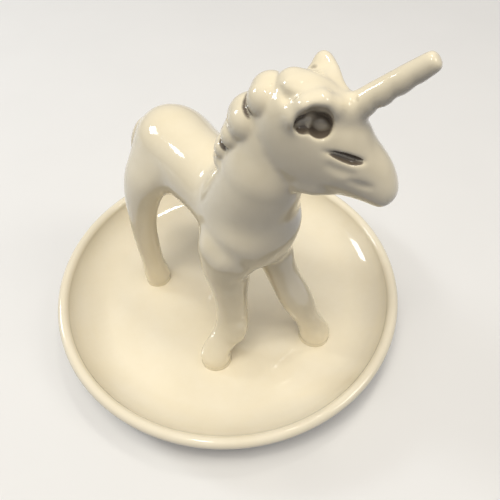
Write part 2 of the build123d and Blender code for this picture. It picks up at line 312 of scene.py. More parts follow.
# %% Vent hole
VENT_RADIUS = 1.5

x, y, z = places(everything)
vent_hole = np.maximum(np.hypot(x - vent[0], y - vent[1]) - VENT_RADIUS, z - vent_top)
skin = np.maximum(skin, -vent_hole).astype(np.float32)
print("vent at", vent.round(2), "up to", round(vent_top, 1), "mm")

# %% [markdown]
# ## Hooves in a pool of glaze
# The hooves are stuck to the dish's floor, and the glaze creeps up around them in a small ring. Melting the
# legs into the plane of the floor gives that ring, and all of it beyond the ring's width or below the floor
# is cut off.

# %% Glaze rings at the hooves
FLOOR_HEIGHT = 4.5
RING_WIDTH = 1.1
RING_DEPTH = 0.4

legs = [name for name in order if name.endswith("leg")]
hoof_part = window((*grid_first[:2] * VOXEL, 0), (*grid_last[:2] * VOXEL, FLOOR_HEIGHT + FAR))
hoof = skin[hoof_part]
height = places(hoof_part)[2]
ring = melt(hoof, height - FLOOR_HEIGHT, RING_WIDTH)
ring = np.maximum(ring, hoof - RING_WIDTH)
skin[hoof_part] = np.maximum(ring, FLOOR_HEIGHT - RING_DEPTH - height)
print("glaze rings", RING_WIDTH, "mm wide at", len(legs), "hooves")

# %% [markdown]
# ## Modelling tools
# A maker draws the eyes with a loop tool and presses the lids on as thin rolls of clay. Both are strokes
# here: a chain of points with a thickness at each, which is either pressed into the clay or melted onto it.

# %% Strokes
STROKE_REACH = FAR / 2


def stroke_distance(part, points, radii):
    """Distance to a chain of tapered rods through points, all in millimetres."""
    x, y, z = places(part)
    best = None
    for (start, r0), (end, r1) in zip(zip(points, radii), zip(points[1:], radii[1:])):
        line = end - start
        offsets = (x - start[0], y - start[1], z - start[2])
        share = sum(offset * step for offset, step in zip(offsets, line)) / line.dot(line)
        share = np.clip(share, 0, 1)
        gap = np.sqrt(sum((offset - share * step) ** 2 for offset, step in zip(offsets, line)))
        gap = gap - (r0 + (r1 - r0) * share)
        best = gap if best is None else np.minimum(best, gap)
    return best.astype(np.float32)


def stroke_window(points, radii):
    """The window of the grid that a stroke can change."""
    reach = max(radii) + STROKE_REACH
    return window(np.min(points, axis=0) - reach, np.max(points, axis=0) + reach)


def press(points, radii, softness):
    """Presses a stroke into the clay."""
    points = np.array(points)
    part = stroke_window(points, radii)
    skin[part] = -melt(-skin[part], stroke_distance(part, points, radii), softness)


def add_clay(points, radii, softness):
    """Melts a stroke onto the clay."""
    points = np.array(points)
    part = stroke_window(points, radii)
    skin[part] = melt(skin[part], stroke_distance(part, points, radii), softness)


print("strokes change the clay up to", STROKE_REACH, "mm beside them")

# %% [markdown]
# ## Breast, shoulder and pastern
# Below the throat the neck widens into the breast without a step, and a muscle swells on the shoulder. Both
# are wide strokes that lie mostly inside the clay, so that only what was missing shows. Low on the right
# foreleg the fetlock bulges inwards in the same way, and the pastern below it is pinched, which sets off
# the hoof.

# %% Breast, shoulder and pastern
BREAST = ((-2.0, -19.2, 75.0), (-2.2, -15.2, 60.0))
BREAST_RADII = (8.2, 10.9)
BREAST_SOFTNESS = 2.5
SHOULDER = ((-12.7, -15.0, 53.2), (-12.0, -17.9, 51.8), (-10.2, -19.2, 49.8))
SHOULDER_RADII = (3.9, 4.1, 3.8)
SHOULDER_SOFTNESS = 3.5
FETLOCK = ((-10.9, -20.6, 22.0), (-11.8, -20.6, 17.6))
FETLOCK_RADII = (2.0, 2.2)
FETLOCK_SOFTNESS = 3.0
PASTERN = ((-13.2, -24.0, 9.6), (-11.4, -21.6, 9.6))
PASTERN_RADII = (3.0, 3.0)
PASTERN_SOFTNESS = 2.0

add_clay(BREAST, BREAST_RADII, BREAST_SOFTNESS)
add_clay(SHOULDER, SHOULDER_RADII, SHOULDER_SOFTNESS)
add_clay(FETLOCK, FETLOCK_RADII, FETLOCK_SOFTNESS)
press(PASTERN, PASTERN_RADII, PASTERN_SOFTNESS)
print("breast", 2 * BREAST_RADII[1], "mm wide and a shoulder", 2 * SHOULDER_RADII[1], "mm wide")

# %% [markdown]
# ## The mane
# Six fat rolls of clay lie across the crest, from the poll down to the withers, and each laps over the
# next. A roll is a short stroke from its near end, over the crest, to its far end, set deep enough to leave
# only a crease between it and its neighbours.

# %% Curls
ROLL_SOFTNESS = 0.4
ROLLS = (
    (((0.2, -0.9, -4.4), (-0.2, 0.8, -4.8), (1.1, 2.6, -6.0)), (3.5, 3.5, 2.4)),
    (((-1.5, -0.5, -9.8), (-1.5, 1.4, -9.5), (-0.9, 3.4, -10.6)), (3.9, 4.1, 2.8)),
    (((0.2, -0.2, -16.4), (0.3, 1.5, -16.5), (0.8, 3.4, -17.2)), (4.4, 5.0, 3.4)),
    (((0.6, -0.8, -20.9), (0.4, 1.0, -20.5), (1.0, 3.0, -21.8)), (3.0, 3.1, 2.2)),
    (((2.0, -0.2, -25.8), (1.8, 1.5, -26.0), (2.4, 3.2, -26.8)), (2.4, 2.4, 1.8)),
    (((5.2, -2.0, -28.1), (3.8, -0.4, -28.4), (3.4, 1.2, -29.4)), (1.7, 2.0, 1.8)),
)

for name, (roll, radii) in reversed(list(zip(curls, ROLLS))):
    points = np.array([head_point(*spot) for spot in roll])
    part = stroke_window(points, radii)
    clay = stroke_distance(part, points, radii)
    skin[part] = melt(skin[part], clay, ROLL_SOFTNESS)
    claim(part, clay, order.index(name))
print("mane of", len(curls), "rolls")

# %% [markdown]
# ## The ears
# Each ear is a shell of clay over a hollow that opens outwards and runs into the cheek. The hollow is made
# of three overlapping lobes, small towards the ear's tip and deep towards the face. The right ear lies
# flat, as a rounded hood. The left one stands out: a thin leaf with a rim at its back, and a web of clay
# between the two.

# %% Ears
EAR_INWARDS = np.array((0.43, -0.60, -0.67))
EAR_LOBES = (((4.05, 6.5, -3.9), 1.6, 0.2), ((4.4, 5.8, -2.2), 1.5, 0.4), ((6.1, 5.75, -1.7), 2.2, 0.7))
HOLLOW_TOPS = {"right_ear": -5.0, "left_ear": -1.5}
EAR_HOOD = ((2.4, 6.0, -4.2), (2.3, 5.5, -1.6), (3.4, 4.4, 0.2), (5.4, 3.4, 1.0), (7.2, 2.0, 0.9))
EAR_HOOD_RADII = (1.7, 2.4, 2.4, 1.8, 1.6)
EAR_HOOD_SOFTNESS = 2.5
EAR_LEAF = ((1.4, 8.6, -0.9), (2.6, 7.5, 0.1), (3.6, 6.1, 0.6), (4.6, 4.0, 0.9), (6.2, 2.6, 1.0))
EAR_LEAF_RADII = (1.3, 1.2, 1.2, 1.1, 1.1)
EAR_RIM = ((1.4, 8.6, -0.9), (2.2, 6.6, -3.8))
EAR_RIM_RADII = (1.3, 1.8)
EAR_WEB = ((1.7, 8.0, -1.0), (2.5, 6.9, -1.3), (3.2, 5.4, -1.3), (3.8, 4.0, -0.8))
EAR_WEB_RADII = (1.2, 1.7, 1.9, 2.0)
EAR_LEAF_SOFTNESS = 1.5
EAR_LOBE_SOFTNESS = 0.7
EAR_SKIN = 2.0


def on_side(side, stroke):
    """A stroke in head directions as points on the head's left (1) or right (-1) side."""
    return np.array([head_point(along, side * left, up) for along, left, up in stroke])


def add_piece(points, radii, softness, name):
    """Melts a stroke onto the clay, as a part of this piece."""
    part = stroke_window(points, radii)
    claim(part, stroke_distance(part, points, radii), order.index(name))
    add_clay(points, radii, softness)


def give(points, radii, name):
    """Makes the clay around a stroke a part of this piece."""
    part = stroke_window(points, radii)
    own = stroke_distance(part, points, radii) < EAR_SKIN
    owner[part] = np.where(own, order.index(name), owner[part])


add_piece(on_side(-1, EAR_HOOD), EAR_HOOD_RADII, EAR_HOOD_SOFTNESS, "right_ear")
for stroke, radii in ((EAR_LEAF, EAR_LEAF_RADII), (EAR_RIM, EAR_RIM_RADII), (EAR_WEB, EAR_WEB_RADII)):
    add_piece(on_side(1, stroke), radii, EAR_LEAF_SOFTNESS, "left_ear")
for side, name in ((-1, "right_ear"), (1, "left_ear")):
    for spot, size, depth in EAR_LOBES:
        lobe = on_side(side, [spot + EAR_INWARDS * HOLLOW_TOPS[name], spot + EAR_INWARDS * depth])
        press(lobe, (size, size), EAR_LOBE_SOFTNESS)
        give(lobe, (size, size), name)
print("two ears, each with a hollow of", len(EAR_LOBES), "lobes")

# %% [markdown]
# ## The face
# The top roll of the mane has melted into the forehead, so on the right the crease under it is drawn in
# again. The eyes are sleepy: a heavy upper lid over a slit that is thin at its outer corner and opens
# towards the muzzle, with a faint crease below. The jaws are round, and the mouth is only hinted at. Both
# sides of the face are alike, so jaws, eyes and mouth are made twice, mirrored.

# %% Crease, jaws, eyes and mouth
TOP_CREASE = ((-2.7, 2.7, -4.9), (-1.8, 4.0, -4.5), (-1.2, 4.5, -4.0), (-0.8, 4.7, -3.1), (-0.5, 4.3, -1.6))
TOP_CREASE_RADII = (0.3, 0.6, 0.9, 0.6, 0.2)
TOP_CREASE_SOFTNESS = 1.0
JAW = ((14.0, 4.0, -15.6), (14.9, 4.65, -14.1), (16.8, 4.75, -12.25), (18.9, 3.5, -10.8))
JAW_RADII = (2.0, 2.2, 2.2, 2.0)
JAW_SOFTNESS = 1.6
EYE_SLIT = ((10.2, 7.0, -4.2), (12.0, 6.3, -3.2), (14.0, 5.7, -2.5), (15.9, 5.0, -1.85), (17.4, 4.35, -1.1))
EYE_RADII = (0.25, 0.6, 0.85, 0.85, 0.5)
EYE_SOFTNESS = 0.3
LID_CREASE = ((13.5, 7.9, -5.0), (15.9, 7.4, -4.1), (18.1, 6.7, -3.2))
LID_RADII = (0.6, 0.8, 0.6)
LID_SOFTNESS = 1.2
MOUTH = ((19.0, 6.55, -4.65), (21.4, 5.8, -3.9), (23.0, 5.3, -3.05))
MOUTH_RADII = (0.5, 0.75, 0.5)
MOUTH_SOFTNESS = 0.8


def both_sides(tool, stroke, radii, softness):
    """Uses a modelling tool on the right and the left side of the head."""
    for side in (-1, 1):
        tool(on_side(side, stroke), radii, softness)


press(on_side(-1, TOP_CREASE), TOP_CREASE_RADII, TOP_CREASE_SOFTNESS)
both_sides(add_clay, JAW, JAW_RADII, JAW_SOFTNESS)
both_sides(press, EYE_SLIT, EYE_RADII, EYE_SOFTNESS)
both_sides(press, LID_CREASE, LID_RADII, LID_SOFTNESS)
both_sides(press, MOUTH, MOUTH_RADII, MOUTH_SOFTNESS)
print("two eyes, each", round(math.dist(EYE_SLIT[0], EYE_SLIT[-1]), 1), "mm long")

# %% [markdown]
# ## The horn and its twist
# The horn is drawn once more as a tapered rod with a blunt, rounded tip, and a groove winds round it. The
# groove is deepest near the root, and the glaze has all but filled it on the upper side. It is a wave in
# the angle and the height together, so it can be added to the field straight away, as a small number that
# makes the clay a little thinner along the wave.

# %% Horn and twist
HORN_LENGTH = 15.8
HORN_RADII = (2.5, 2.2, 1.75)
HORN_STOPS = (4.0, 10.0, HORN_LENGTH)
HORN_ROUND = 0.9
HORN_SOFTNESS = 0.3
HORN_MARGIN = 1.0
TWIST_PITCH = 3.7
TWIST_START = 0.16
TWIST_DEPTH = 0.6
TWIST_SHARPNESS = 2
TWIST_ROOT = 1.5
HORN_REACH = 5.0

horn_low, horn_high = np.array(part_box("horn")) / MM
part = window(horn_low - HORN_MARGIN, horn_high + HORN_MARGIN)
offsets = [axis - root for axis, root in zip(places(part), horn_root)]
climb = sum(o * d for o, d in zip(offsets, HEAD_UP))
side = sum(o * d for o, d in zip(offsets, HEAD_LEFT))
ahead = sum(o * d for o, d in zip(offsets, HEAD_ALONG))
radius = np.hypot(side, ahead)
wide = radius - np.interp(climb, HORN_STOPS, HORN_RADII) + HORN_ROUND
tall = climb - HORN_LENGTH + HORN_ROUND
past_edge = np.hypot(np.maximum(wide, 0), np.maximum(tall, 0))
rod = past_edge + np.minimum(np.maximum(wide, tall), 0) - HORN_ROUND
rod = np.maximum(rod, -climb)
turn = np.arctan2(side, ahead) / (2 * math.pi)
wave = 0.5 + 0.5 * np.cos(2 * math.pi * (climb / TWIST_PITCH + turn + TWIST_START))
fade = np.clip(climb / TWIST_ROOT - 1, 0, 1) * np.clip(1 - climb / HORN_LENGTH, 0, 1)
below = 0.5 + 0.5 * ahead / np.maximum(radius, VOXEL)
groove = TWIST_DEPTH * below * fade * (radius < HORN_REACH) * wave ** TWIST_SHARPNESS
skin[part] = melt(skin[part], rod, HORN_SOFTNESS).astype(np.float32) + groove.astype(np.float32)
print("twist of", round(HORN_LENGTH / TWIST_PITCH, 1), "turns")

# %% [markdown]
# ## Skinning the field
# Glaze softens everything a little, so the field is blurred by less than a grid step. OpenVDB then draws
# the surface on which the distance is zero, and two steps along the field's slope put every corner exactly
# on it. The slope also gives the normals, so that reflections run smoothly over the seams.

# %% Blur and draw the surface
skin = blur(skin)
far_skin = measured_again(skin.copy())
skin = np.clip(skin, -NEAR, NEAR)
corners, quads = surface_of(skin)
corners = corners.astype(np.float64)
slopes = np.gradient(skin, VOXEL)
print("surface of", len(corners), "corners and", len(quads), "four-sided faces")


# %% Settle the corners on the surface
SETTLE_STEPS = 2
STEEP_ENOUGH = 0.25
TINY = 1e-6


def read_field(field, points):
    """Values of a field between grid points."""
    spot = points / VOXEL - grid_first
    base = np.clip(np.floor(spot).astype(int), 0, np.array(field.shape) - 2)
    share = spot - base
    total = 0
    for i in (0, 1):
        for j in (0, 1):
            for k in (0, 1):
                weight = np.prod(np.where((i, j, k), share, 1 - share), axis=1)
                total = total + weight * field[base[:, 0] + i, base[:, 1] + j, base[:, 2] + k]
    return total


def slope_at(points):
    """Slope of the skin's field at points."""
    return np.stack([read_field(slope, points) for slope in slopes], axis=1)


for _ in range(SETTLE_STEPS):
    slope = slope_at(corners)
    length = np.maximum((slope ** 2).sum(axis=1), STEEP_ENOUGH)
    corners -= slope * (read_field(skin, corners) / length)[:, None]
normals = slope_at(corners)
normals /= np.maximum(np.linalg.norm(normals, axis=1), TINY)[:, None]
laid = corners[quads]
outward = np.cross(laid[:, 1] - laid[:, 0], laid[:, 2] - laid[:, 0])
if (outward * normals[quads[:, 0]]).sum() < 0:
    quads = quads[:, ::-1]
print("largest distance left:", float(np.abs(read_field(skin, corners)).max()))

# %% [markdown]
# ## Painted shade in hollows, and thin edges
# On the real piece the glaze runs off the edges, and the hollows lie in shade. The field knows both: a few
# steps out from a hollow the clay is still close by, and over an edge the field bends outwards. Both are
# kept on the corners of the mesh for the material to read. The closeness is painted into the colour as
# shade, which darkens the ear hollows, eye slits and creases. Head and mane are carved, and take more of
# this painted shade than the smooth body below them.

# %% Measure hollows and edges
SHADE_STEPS = (1.2, 2.4, 3.6, 4.8)
CARVED_HEIGHTS = (68, 76)
CARVED_SHARE = (0.3, 1)
EDGE_BEND = 0.9
CLEARLY = 0.4

# painted shade: how close the clay still is a few steps out from each corner, later used to darken the
# colour
closeness = [1 - read_field(far_skin, corners + normals * step) / step for step in SHADE_STEPS]
painted_shade = np.clip(np.mean(closeness, axis=0), 0, 1)
painted_shade = painted_shade * np.interp(corners[:, 2], CARVED_HEIGHTS, CARVED_SHARE)
bends = [np.gradient(slope, VOXEL, axis=axis) for axis, slope in enumerate(slopes)]
edge = np.clip(read_field(sum(bends), corners) / EDGE_BEND, 0, 1)
print("corners in hollows:", int((painted_shade > CLEARLY).sum()), "and on edges:", int((edge > CLEARLY).sum()))

# %% [markdown]
# ## Cutting the skin along the seams
# Each clay piece is an object of its own, so the skin is cut where the nearest piece changes. A small patch
# that hangs apart from the rest of its piece is given to its neighbour.

# %% The piece of each face
centres = corners[quads].mean(axis=1)
spots = np.clip(np.rint(centres / VOXEL).astype(int) - grid_first, 0, np.array(skin.shape) - 1)
face_owner = owner[spots[:, 0], spots[:, 1], spots[:, 2]]


def loops(edges):
    """A number for each edge, the same for all edges that hang together by their corners."""
    tag = {int(corner): int(corner) for corner in edges.ravel()}

    def top(corner):
        while tag[corner] != corner:
            tag[corner] = tag[tag[corner]]
            corner = tag[corner]
        return corner

    for a, b in edges:
        tag[top(int(a))] = top(int(b))
    return np.array([top(int(a)) for a in edges[:, 0]])


def give_strays_away(number):
    """Gives the faces of a piece that hang apart from its main patch to the pieces around them."""
    mine = np.flatnonzero(face_owner == number)
    faces = quads[mine]
    tags = loops(np.concatenate([faces[:, :2], faces[:, 1:3], faces[:, 2:]]))[:len(faces)]
    patches, sizes = np.unique(tags, return_counts=True)
    for patch in patches[sizes < sizes.max()]:
        stray = mine[tags == patch]
        beside = face_owner[np.isin(quads, quads[stray]).any(axis=1)]
        face_owner[stray] = np.bincount(beside[beside != number]).argmax()
    return len(patches) - 1


strays = sum(give_strays_away(number) for number in range(len(order)))
print("stray patches given away:", strays)

# %% [markdown]
# ## Closing the cuts
# Every cut is closed with a fan of triangles to a point inside the clay, so each piece is a closed body.
# The pieces keep the normals of the whole skin, and so no seam shows.

# %% Closed pieces
CAP_DEPTHS = np.linspace(0, 8, 17)


def rims(faces):
    """Edges that only one of the faces uses, in the direction in which that face uses them."""
    pairs = np.concatenate([faces[:, [i, (i + 1) % 4]] for i in range(4)]).astype(np.int64)
    count = len(corners)
    alone = ~np.isin(pairs[:, 1] * count + pairs[:, 0], pairs[:, 0] * count + pairs[:, 1])
    return pairs[alone]


def piece_mesh(name, faces):
    """A closed mesh of some faces of the skin."""
    edges = rims(faces)
    tags = loops(edges)
    lids = []
    middles = []
    for tag in np.unique(tags):
        around = edges[tags == tag]
        middle = len(corners) + len(middles)
        ring = np.unique(around)
        inwards = -normals[ring].mean(axis=0)
        path = corners[ring].mean(axis=0) + np.outer(CAP_DEPTHS, inwards / np.linalg.norm(inwards))
        middles.append(path[np.argmin(read_field(far_skin, path))])
        lids += [(b, a, middle) for a, b in around]
    places_mm = np.concatenate([corners, np.array(middles).reshape(-1, 3)])
    polygons = [tuple(f) for f in faces] + lids
    used = np.unique(np.concatenate([np.ravel(p) for p in polygons]))
    renumber = np.full(len(places_mm), -1)
    renumber[used] = np.arange(len(used))
    mesh = bpy.data.meshes.new(name)
    mesh.from_pydata(places_mm[used] * MM, [], [renumber[list(p)].tolist() for p in polygons])
    mesh.polygons.foreach_set("use_smooth", [True] * len(mesh.polygons))
    on_skin = used < len(corners)
    turned = np.zeros((len(used), 3))
    turned[on_skin] = normals[used[on_skin]]
    mesh.normals_split_custom_set_from_vertices(turned.tolist())
    # the painted shade of the hollows and the thin edges, kept on each corner
    for label, values in (("painted_shade", painted_shade), ("edge", edge)):
        kept = np.zeros(len(used), dtype=np.float32)
        kept[on_skin] = values[used[on_skin]]
        mesh.attributes.new(label, "FLOAT", "POINT").data.foreach_set("value", kept)
    return mesh, len(middles)


figure = {}
for number, name in enumerate(order):
    mesh, cuts = piece_mesh(name + "_glazed", quads[face_owner == number])
    figure[name] = bpy.data.objects.new(name + "_glazed", mesh)
    bpy.context.scene.collection.objects.link(figure[name])
    print(name, "has", len(mesh.polygons), "faces and", cuts, "seams")

# %% [markdown]
# ## The dish on the wheel
# A dish is turned: one profile, taken once round. That is a rule, so Geometry Nodes make it. The profile is
# a curve in the x and z plane with both ends on the wheel's axis, and the tree lays a grid along it and
# round it.

# %% Dish profile
LIP_THICKNESS = 3.4
FOOT_RADIUS = 34.0
FOOT_WIDTH = 3.5
FOOT_RECESS = 1.2
FOOT_ROUND = 0.4
FLOOR_RADIUS = 40.0
WALL_LEAN = 0.25
PROFILE_STEPS = 20
ROUND_HANDLE = 4 / 3 * (math.sqrt(2) - 1)

dish_high = np.array(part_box("dish"))[1] / MM
rim = float(dish_high[0])
rim_in = rim - LIP_THICKNESS
lip_low = float(dish_high[2]) - LIP_THICKNESS / 2
foot_in = FOOT_RADIUS - FOOT_WIDTH


def profile_curve(points):
    """A Bezier curve through (radius, height, way in, way out); a way is a handle's offset, or None."""
    data = bpy.data.curves.new("dish_profile", "CURVE")
    data.dimensions = "3D"
    data.resolution_u = PROFILE_STEPS
    spline = data.splines.new("BEZIER")
    spline.bezier_points.add(len(points) - 1)
    for spot, (radius, height, way_in, way_out) in zip(spline.bezier_points, points):
        spot.co = (radius * MM, 0, height * MM)
        spot.handle_left_type = "VECTOR" if way_in is None else "FREE"
        spot.handle_right_type = "VECTOR" if way_out is None else "FREE"
        if way_in is not None:
            spot.handle_left = spot.co + Vector((way_in[0], 0, way_in[1])) * MM
        if way_out is not None:
            spot.handle_right = spot.co + Vector((way_out[0], 0, way_out[1])) * MM
    return data


lean = Vector((WALL_LEAN, 1)).normalized()
outside = math.dist((FOOT_RADIUS, FOOT_RECESS), (rim, lip_low)) / 3
inside = math.dist((FLOOR_RADIUS, FLOOR_HEIGHT), (rim_in, lip_low)) / 3
half_lip = LIP_THICKNESS / 2
bow = half_lip * ROUND_HANDLE
dish_profile = profile_curve([
    (0, FOOT_RECESS, None, None),
    (foot_in - FOOT_ROUND, FOOT_RECESS, None, None),
    (foot_in, FOOT_RECESS - FOOT_ROUND, None, None),
    (foot_in, FOOT_ROUND, None, None),
    (foot_in + FOOT_ROUND, 0, None, None),
    (FOOT_RADIUS - FOOT_ROUND, 0, None, None),
    (FOOT_RADIUS, FOOT_ROUND, None, None),
    (FOOT_RADIUS, FOOT_RECESS, None, (outside, 0)),
    (rim, lip_low, tuple(-lean * outside), (0, bow)),
    (rim - half_lip, lip_low + half_lip, (bow, 0), (-bow, 0)),
    (rim_in, lip_low, (0, bow), tuple(-lean * inside)),
    (FLOOR_RADIUS, FLOOR_HEIGHT, (inside, 0), None),
    (0, FLOOR_HEIGHT, None, None),
])
print("profile from the foot to a lip", round(half_lip * 2, 1), "mm thick and", round(rim * 2), "mm across")


# %% The wheel
MERGE_DISTANCE = 1e-6


def tree_with(name, inputs):
    """An empty Geometry Nodes tree with named inputs, and a function that adds nodes to it."""
    tree = bpy.data.node_groups.new(name, "GeometryNodeTree")
    tree.interface.new_socket("Geometry", in_out="OUTPUT", socket_type="NodeSocketGeometry")
    sockets = {}
    for label, kind in inputs:
        sockets[label] = tree.interface.new_socket(label, in_out="INPUT", socket_type=kind).identifier

    def add(kind, settings=None, **links):
        node = tree.nodes.new(kind)
        for key, value in (settings or {}).items():
            setattr(node, key, value)
        for key, value in links.items():
            socket = node.inputs[int(key[1:])] if key[1:].isdigit() else node.inputs[key.replace("_", " ")]
            if isinstance(value, bpy.types.NodeSocket):
                tree.links.new(value, socket)
            else:
                socket.default_value = value
        return node

    return tree, sockets, add


wheel, wheel_inputs, add = tree_with("wheel", [
    ("Geometry", "NodeSocketGeometry"), ("Segments", "NodeSocketInt"), ("Glaze", "NodeSocketMaterial")])
given = add("NodeGroupInput").outputs
stations = add("GeometryNodeCurveToPoints", {"mode": "EVALUATED"}, Curve=given["Geometry"])
stations = stations.outputs["Points"]
count = add("GeometryNodeAttributeDomainSize", {"component": "POINTCLOUD"}, Geometry=stations)
count = count.outputs["Point Count"]
around = add("ShaderNodeMath", {"operation": "ADD"}, _0=given["Segments"], _1=1.0).outputs[0]
sheet = add("GeometryNodeMeshGrid", Vertices_X=count, Vertices_Y=around).outputs["Mesh"]
index = add("GeometryNodeInputIndex").outputs[0]
row = add("ShaderNodeMath", {"operation": "DIVIDE"}, _0=index, _1=around).outputs[0]
row = add("ShaderNodeMath", {"operation": "FLOOR"}, _0=row).outputs[0]
step = add("ShaderNodeMath", {"operation": "MODULO"}, _0=index, _1=around).outputs[0]
angle = add("ShaderNodeMath", {"operation": "DIVIDE"}, _0=step, _1=given["Segments"]).outputs[0]
angle = add("ShaderNodeMath", {"operation": "MULTIPLY"}, _0=angle, _1=2 * math.pi).outputs[0]
position = add("GeometryNodeInputPosition").outputs[0]
station = add("GeometryNodeSampleIndex", {"data_type": "FLOAT_VECTOR"},
              Geometry=stations, Value=position, Index=row).outputs["Value"]
turned = add("ShaderNodeVectorRotate", {"rotation_type": "Z_AXIS"}, Vector=station, Angle=angle).outputs[0]
form = add("GeometryNodeSetPosition", Geometry=sheet, Position=turned).outputs[0]
form = add("GeometryNodeMergeByDistance", Geometry=form, Distance=MERGE_DISTANCE).outputs[0]
form = add("GeometryNodeSetShadeSmooth", Geometry=form).outputs[0]
form = add("GeometryNodeRealizeInstances", Geometry=form).outputs[0]
form = add("GeometryNodeSetMaterial", Geometry=form, Material=given["Glaze"]).outputs[0]
end = add("NodeGroupOutput")
wheel.links.new(form, end.inputs[0])
print("wheel tree of", len(wheel.nodes), "nodes")

# %% [markdown]
# ## Writing shader sums
# A finish is a sum of many small numbers. Written with nodes, each sum takes several lines, so a small
# class wraps a socket: its operators add the Math nodes, and its methods add the other kinds.

# %% Wires
class Wire:
    """A socket in an expression. Operators add Math nodes to the socket's tree."""

    def __init__(self, socket):
        self.socket = socket

    def node(self, kind, settings, sockets, out=0):
        """Adds a node to the tree: settings first, then the values or links of its sockets."""
        tree = self.socket.id_data
        made = tree.nodes.new(kind)
        for key, value in settings.items():
            setattr(made, key, value)
        for key, value in sockets.items():
            if isinstance(value, Wire):
                tree.links.new(value.socket, made.inputs[key])
            else:
                made.inputs[key].default_value = value
        return Wire(made.outputs[out])

    def maths(self, operation, *values, clamp=False):
        """Adds a Math node."""
        settings = {"operation": operation, "use_clamp": clamp}
        return self.node("ShaderNodeMath", settings, dict(enumerate(values)))

    def __add__(self, other):
        return self.maths("ADD", self, other)

    def __sub__(self, other):
        return self.maths("SUBTRACT", self, other)

    def __mul__(self, other):
        return self.maths("MULTIPLY", self, other)

    def __truediv__(self, other):
        return self.maths("DIVIDE", self, other)

    def __rsub__(self, other):
        return self.maths("SUBTRACT", other, self)

    __radd__ = __add__
    __rmul__ = __mul__

    def noise(self, scale, detail):
        """A noise texture at the place that this wire gives."""
        return self.node("ShaderNodeTexNoise", {}, {"Vector": self, "Scale": scale, "Detail": detail})

    def over(self, limit):
        """1 where the value is above the limit, else 0."""
        return self.maths("GREATER_THAN", self, limit)

    def kept(self):
        """The value held between 0 and 1."""
        return self.maths("ADD", self, 0.0, clamp=True)

    def blend(self, first, second):
        """From one colour to another by this value."""
        return self.node("ShaderNodeMix", {"data_type": "RGBA"}, {0: self, 6: first, 7: second}, out=2)

    def seen(self):
        """1 for what the camera sees, also in reflections or through glass, and 0 for bounced light."""
        kinds = ("Is Camera Ray", "Is Glossy Ray", "Is Transmission Ray")
        camera, glossy, through = [self.node("ShaderNodeLightPath", {}, {}, out=kind) for kind in kinds]
        return (camera + glossy + through).kept()

    def into(self, node, name):
        """Links this wire to a node's input."""
        self.socket.id_data.links.new(self.socket, node.inputs[name])


def new_material(name):
    """A material with a Principled shader, and the Object coordinates in millimetres as a wire."""
    material = bpy.data.materials.new(name)
    material.use_nodes = True
    tree = material.node_tree
    shader = tree.nodes["Principled BSDF"]
    place = Wire(tree.nodes.new("ShaderNodeTexCoord").outputs["Object"])
    scaled = place.node("ShaderNodeVectorMath", {"operation": "SCALE"}, {0: place, "Scale": 1 / MM})
    return material, shader, scaled


print("a wire takes + - * / and", ", ".join(name for name in vars(Wire) if not name.startswith("__")))

# %% [markdown]
# ## The glaze
# The glaze is a warm cream gloss over pale clay. It is never quite even: it drifts in tone over a
# centimetre or two, pales on the edges, and has a few brown specks of iron and a surface that ripples very
# slightly. Shade is painted into its colour in the hollows and creases. Under the dish the foot ring is
# bare clay. The textures are laid out in millimetres.

# %% Glaze material
DRIFT_SCALE, DRIFT_SHARE = 0.09, 1.6
CLOUD_SCALE, CLOUD_SHARE = 0.55, 0.5
PAINTED_SHADE_FROM, PAINTED_SHADE_WIDTH = 0.2, 0.15
EDGE_SHARE = 0.3
SPECK_SCALE, SPECK_RADIUS, SPECK_RARITY, SPECK_SHARE = 0.16, 0.02, 0.86, 0.5
SPECK_BROWN = (0.35, 0.26, 0.16, 1)
GLOSS, GLOSS_CLOUDS, GLOSS_HOLLOWS = 0.09, 0.08, 0.03
BARE_TOP, BARE_FADE, BARE_ROUGHNESS = 1.6, 2.5, 0.6
BARE_CLAYS = ((0.62, 0.52, 0.40, 1), (0.76, 0.68, 0.55, 1))
CLAY_GRAIN_SCALE = 3.0
RIPPLE_SCALE, RIPPLE_STRENGTH, RIPPLE_HEIGHT = 0.35, 0.12, 0.3
# the third colour of each glaze is painted shade, laid into the hollows and creases
FIGURE_COLOURS = ((0.83, 0.74, 0.54, 1), (0.87, 0.79, 0.61, 1), (0.15, 0.12, 0.09, 1))
DISH_COLOURS = ((0.85, 0.77, 0.59, 1), (0.88, 0.81, 0.65, 1), (0.62, 0.52, 0.34, 1))


